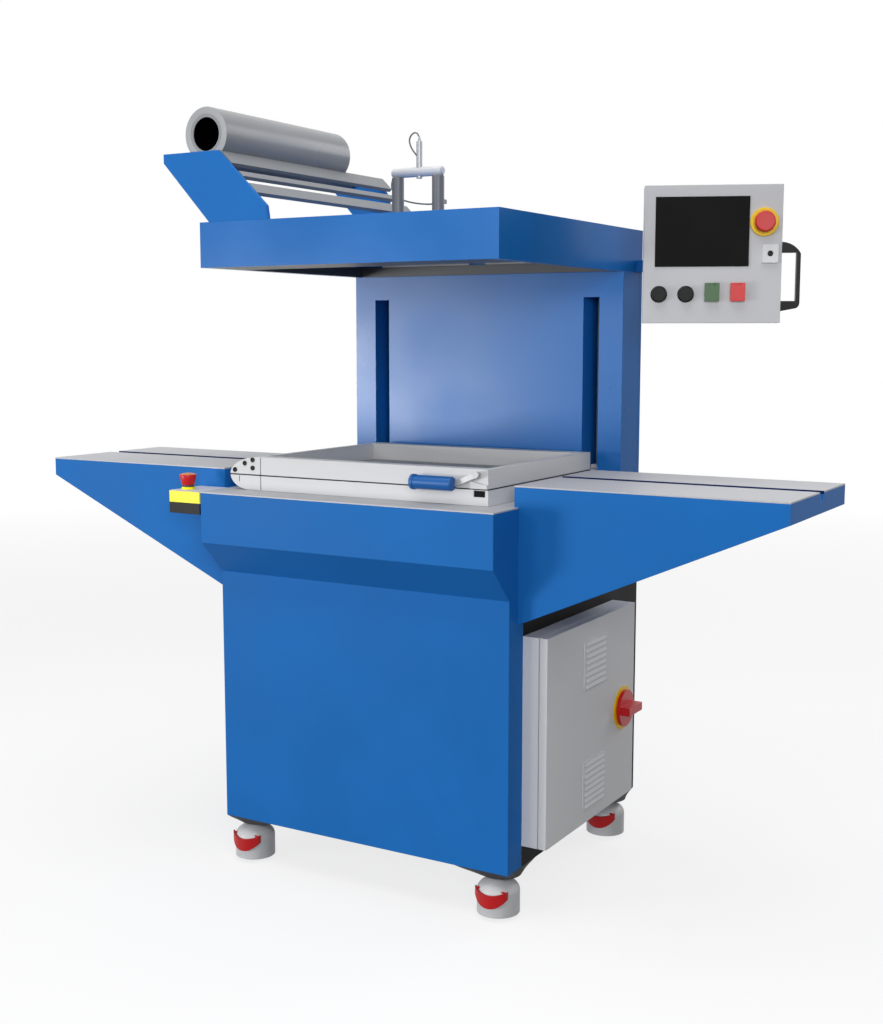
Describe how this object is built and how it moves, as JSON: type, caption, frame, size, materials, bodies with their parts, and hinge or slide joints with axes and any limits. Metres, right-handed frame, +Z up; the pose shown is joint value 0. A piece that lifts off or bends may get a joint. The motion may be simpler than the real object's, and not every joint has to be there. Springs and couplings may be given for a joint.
{
  "type": "skin packaging machine",
  "caption": "Floor standing skin packaging machine with side tables, heater hood, lifting film frame, film roll cradle, swivel control panel, side cabinet and braked casters.",
  "frame": {"origin": "on the floor under the middle of the machine's box", "axes": "+X along the side tables, +Y from the operator to the rear wall, +Z up"},
  "size_m": [1.816, 0.7216, 1.6766],
  "materials": {
    "blue_paint": "semi-gloss blue powder coat",
    "dark_paint": "matt black paint",
    "grey_paint": "light grey textured powder coat",
    "steel": "brushed stainless steel",
    "frame_steel": "satin anodised aluminium",
    "bare_steel": "turned steel",
    "ceramic": "glazed ceramic heater",
    "film": "wound clear plastic film",
    "core": "grey cardboard tube",
    "black_plastic": "black moulded plastic",
    "screen": "black touch screen glass",
    "red_plastic": "red moulded plastic",
    "green_plastic": "green moulded plastic",
    "yellow_plastic": "yellow moulded plastic",
    "blue_plastic": "blue moulded grip",
    "grey_plastic": "grey moulded plastic",
    "tyre": "dark rubber tread",
    "hose": "thin grey hose"
  },
  "bodies": {
    "machine": {"base_housing": "blue_paint", "cabinet_backplate": "dark_paint", "front_panel": "blue_paint", "console": "blue_paint", "deck": "steel", "left_table": "blue_paint", "left_table_top": "steel", "right_table": "blue_paint", "right_table_top": "steel", "rear_wall": "blue_paint", "rear_cover": "blue_paint", "lift_guides": "bare_steel", "hood_shell": "blue_paint", "hood_flange": "grey_paint", "heater_bank": "ceramic", "vacuum_table": "frame_steel", "cradle_front": "blue_paint", "cradle_rear": "blue_paint", "cradle_rails": "steel", "yoke": "grey_paint", "yoke_rod": "bare_steel", "yoke_hose": "hose", "panel_arm": "blue_paint", "cabinet_box": "grey_paint", "stop_box_base": "black_plastic", "stop_box_cover": "yellow_plastic", "caster_brackets": "dark_paint"},
    "film_frame": {"film_frame": "frame_steel"},
    "clamp_frame": {"clamp_frame": "frame_steel"},
    "clamp_lever": {"clamp_lever": "bare_steel", "lever_grip": "blue_plastic"},
    "film_roll": {"film_roll": "film", "film_core": "core"},
    "control_panel": {"panel_box": "grey_paint", "panel_screen": "screen", "panel_stop_ring": "yellow_plastic", "panel_port": "grey_plastic", "panel_handle": "black_plastic"},
    "panel_stop_button": {"panel_stop_button": "red_plastic"},
    "round_button_left": {"round_button_left": "black_plastic"},
    "round_button_right": {"round_button_right": "black_plastic"},
    "start_button": {"start_button": "green_plastic"},
    "stop_button": {"stop_button": "red_plastic"},
    "stop_box_button": {"stop_box_button": "red_plastic"},
    "cabinet_door": {"cabinet_door": "grey_paint", "switch_plate": "yellow_plastic"},
    "switch_handle": {"switch_handle": "red_plastic"},
    "caster_swivel_front_left": {"caster_hood_front_left": "grey_plastic"},
    "caster_wheels_front_left": {"caster_wheels_front_left": "tyre"},
    "caster_pedal_front_left": {"caster_pedal_front_left": "red_plastic"},
    "caster_swivel_front_right": {"caster_hood_front_right": "grey_plastic"},
    "caster_wheels_front_right": {"caster_wheels_front_right": "tyre"},
    "caster_pedal_front_right": {"caster_pedal_front_right": "red_plastic"},
    "caster_swivel_rear_left": {"caster_hood_rear_left": "grey_plastic"},
    "caster_wheels_rear_left": {"caster_wheels_rear_left": "tyre"},
    "caster_pedal_rear_left": {"caster_pedal_rear_left": "red_plastic"},
    "caster_swivel_rear_right": {"caster_hood_rear_right": "grey_plastic"},
    "caster_wheels_rear_right": {"caster_wheels_rear_right": "tyre"},
    "caster_pedal_rear_right": {"caster_pedal_rear_right": "red_plastic"}
  },
  "joints": [
    {"name": "frame_lift", "type": "slide", "parent": "machine", "child": "film_frame", "axis": [0, 0, 1], "range_m": [0, 0.38]},
    {"name": "clamp_hinge", "type": "hinge", "parent": "film_frame", "child": "clamp_frame", "pos_m": [-0.349, -0.2788, 0.892], "axis": [0, 1, 0], "range_deg": [-25, 0]},
    {"name": "lever_pivot", "type": "hinge", "parent": "clamp_frame", "child": "clamp_lever", "pos_m": [0.287, -0.2888, 0.921], "axis": [0, -1, 0], "range_deg": [-90, 0]},
    {"name": "roll_spin", "type": "hinge", "parent": "machine", "child": "film_roll", "pos_m": [-0.35, -0.3322, 1.62], "axis": [0, 1, 0], "continuous": true},
    {"name": "panel_swivel", "type": "hinge", "parent": "machine", "child": "control_panel", "pos_m": [0.524, 0.3398, 1.364], "axis": [0, 0, 1], "range_deg": [-15, 90]},
    {"name": "panel_stop_press", "type": "slide", "parent": "control_panel", "child": "panel_stop_button", "axis": [-0.3971, 0.9178, 0], "range_m": [0, 0.004]},
    {"name": "left_button_press", "type": "slide", "parent": "control_panel", "child": "round_button_left", "axis": [-0.3971, 0.9178, 0], "range_m": [0, 0.004], "stiffness_N_per_m": 300, "springref_m": -0.001},
    {"name": "right_button_press", "type": "slide", "parent": "control_panel", "child": "round_button_right", "axis": [-0.3971, 0.9178, 0], "range_m": [0, 0.004], "stiffness_N_per_m": 300, "springref_m": -0.001},
    {"name": "start_press", "type": "slide", "parent": "control_panel", "child": "start_button", "axis": [-0.3971, 0.9178, 0], "range_m": [0, 0.004], "stiffness_N_per_m": 300, "springref_m": -0.001},
    {"name": "stop_press", "type": "slide", "parent": "control_panel", "child": "stop_button", "axis": [-0.3971, 0.9178, 0], "range_m": [0, 0.004], "stiffness_N_per_m": 300, "springref_m": -0.001},
    {"name": "stop_box_press", "type": "slide", "parent": "machine", "child": "stop_box_button", "axis": [0, 0, -1], "range_m": [0, 0.004]},
    {"name": "door_hinge", "type": "hinge", "parent": "machine", "child": "cabinet_door", "pos_m": [0.4, -0.2322, 0.151], "axis": [0, 0, -1], "range_deg": [0, 110]},
    {"name": "main_switch", "type": "hinge", "parent": "cabinet_door", "child": "switch_handle", "pos_m": [0.4183, 0.1548, 0.361], "axis": [1, 0, 0], "range_deg": [0, 90]},
    {"name": "caster_swivel_front_left", "type": "hinge", "parent": "machine", "child": "caster_swivel_front_left", "pos_m": [-0.318, -0.2332, 0.086], "axis": [0, 0, 1], "continuous": true},
    {"name": "caster_roll_front_left", "type": "hinge", "parent": "caster_swivel_front_left", "child": "caster_wheels_front_left", "pos_m": [-0.318, -0.2472, 0.032], "axis": [1, 0, 0], "continuous": true},
    {"name": "caster_brake_front_left", "type": "hinge", "parent": "caster_swivel_front_left", "child": "caster_pedal_front_left", "pos_m": [-0.318, -0.27932, 0.063], "axis": [1, 0, 0], "range_deg": [-20, 0]},
    {"name": "caster_swivel_front_right", "type": "hinge", "parent": "machine", "child": "caster_swivel_front_right", "pos_m": [0.318, -0.2332, 0.086], "axis": [0, 0, 1], "continuous": true},
    {"name": "caster_roll_front_right", "type": "hinge", "parent": "caster_swivel_front_right", "child": "caster_wheels_front_right", "pos_m": [0.318, -0.2472, 0.032], "axis": [1, 0, 0], "continuous": true},
    {"name": "caster_brake_front_right", "type": "hinge", "parent": "caster_swivel_front_right", "child": "caster_pedal_front_right", "pos_m": [0.318, -0.27932, 0.063], "axis": [1, 0, 0], "range_deg": [-20, 0]},
    {"name": "caster_swivel_rear_left", "type": "hinge", "parent": "machine", "child": "caster_swivel_rear_left", "pos_m": [-0.318, 0.3138, 0.086], "axis": [0, 0, 1], "continuous": true},
    {"name": "caster_roll_rear_left", "type": "hinge", "parent": "caster_swivel_rear_left", "child": "caster_wheels_rear_left", "pos_m": [-0.318, 0.2998, 0.032], "axis": [1, 0, 0], "continuous": true},
    {"name": "caster_brake_rear_left", "type": "hinge", "parent": "caster_swivel_rear_left", "child": "caster_pedal_rear_left", "pos_m": [-0.318, 0.26768, 0.063], "axis": [1, 0, 0], "range_deg": [-20, 0]},
    {"name": "caster_swivel_rear_right", "type": "hinge", "parent": "machine", "child": "caster_swivel_rear_right", "pos_m": [0.318, 0.3138, 0.086], "axis": [0, 0, 1], "continuous": true},
    {"name": "caster_roll_rear_right", "type": "hinge", "parent": "caster_swivel_rear_right", "child": "caster_wheels_rear_right", "pos_m": [0.318, 0.2998, 0.032], "axis": [1, 0, 0], "continuous": true},
    {"name": "caster_brake_rear_right", "type": "hinge", "parent": "caster_swivel_rear_right", "child": "caster_pedal_rear_right", "pos_m": [0.318, 0.26768, 0.063], "axis": [1, 0, 0], "range_deg": [-20, 0]}
  ]
}
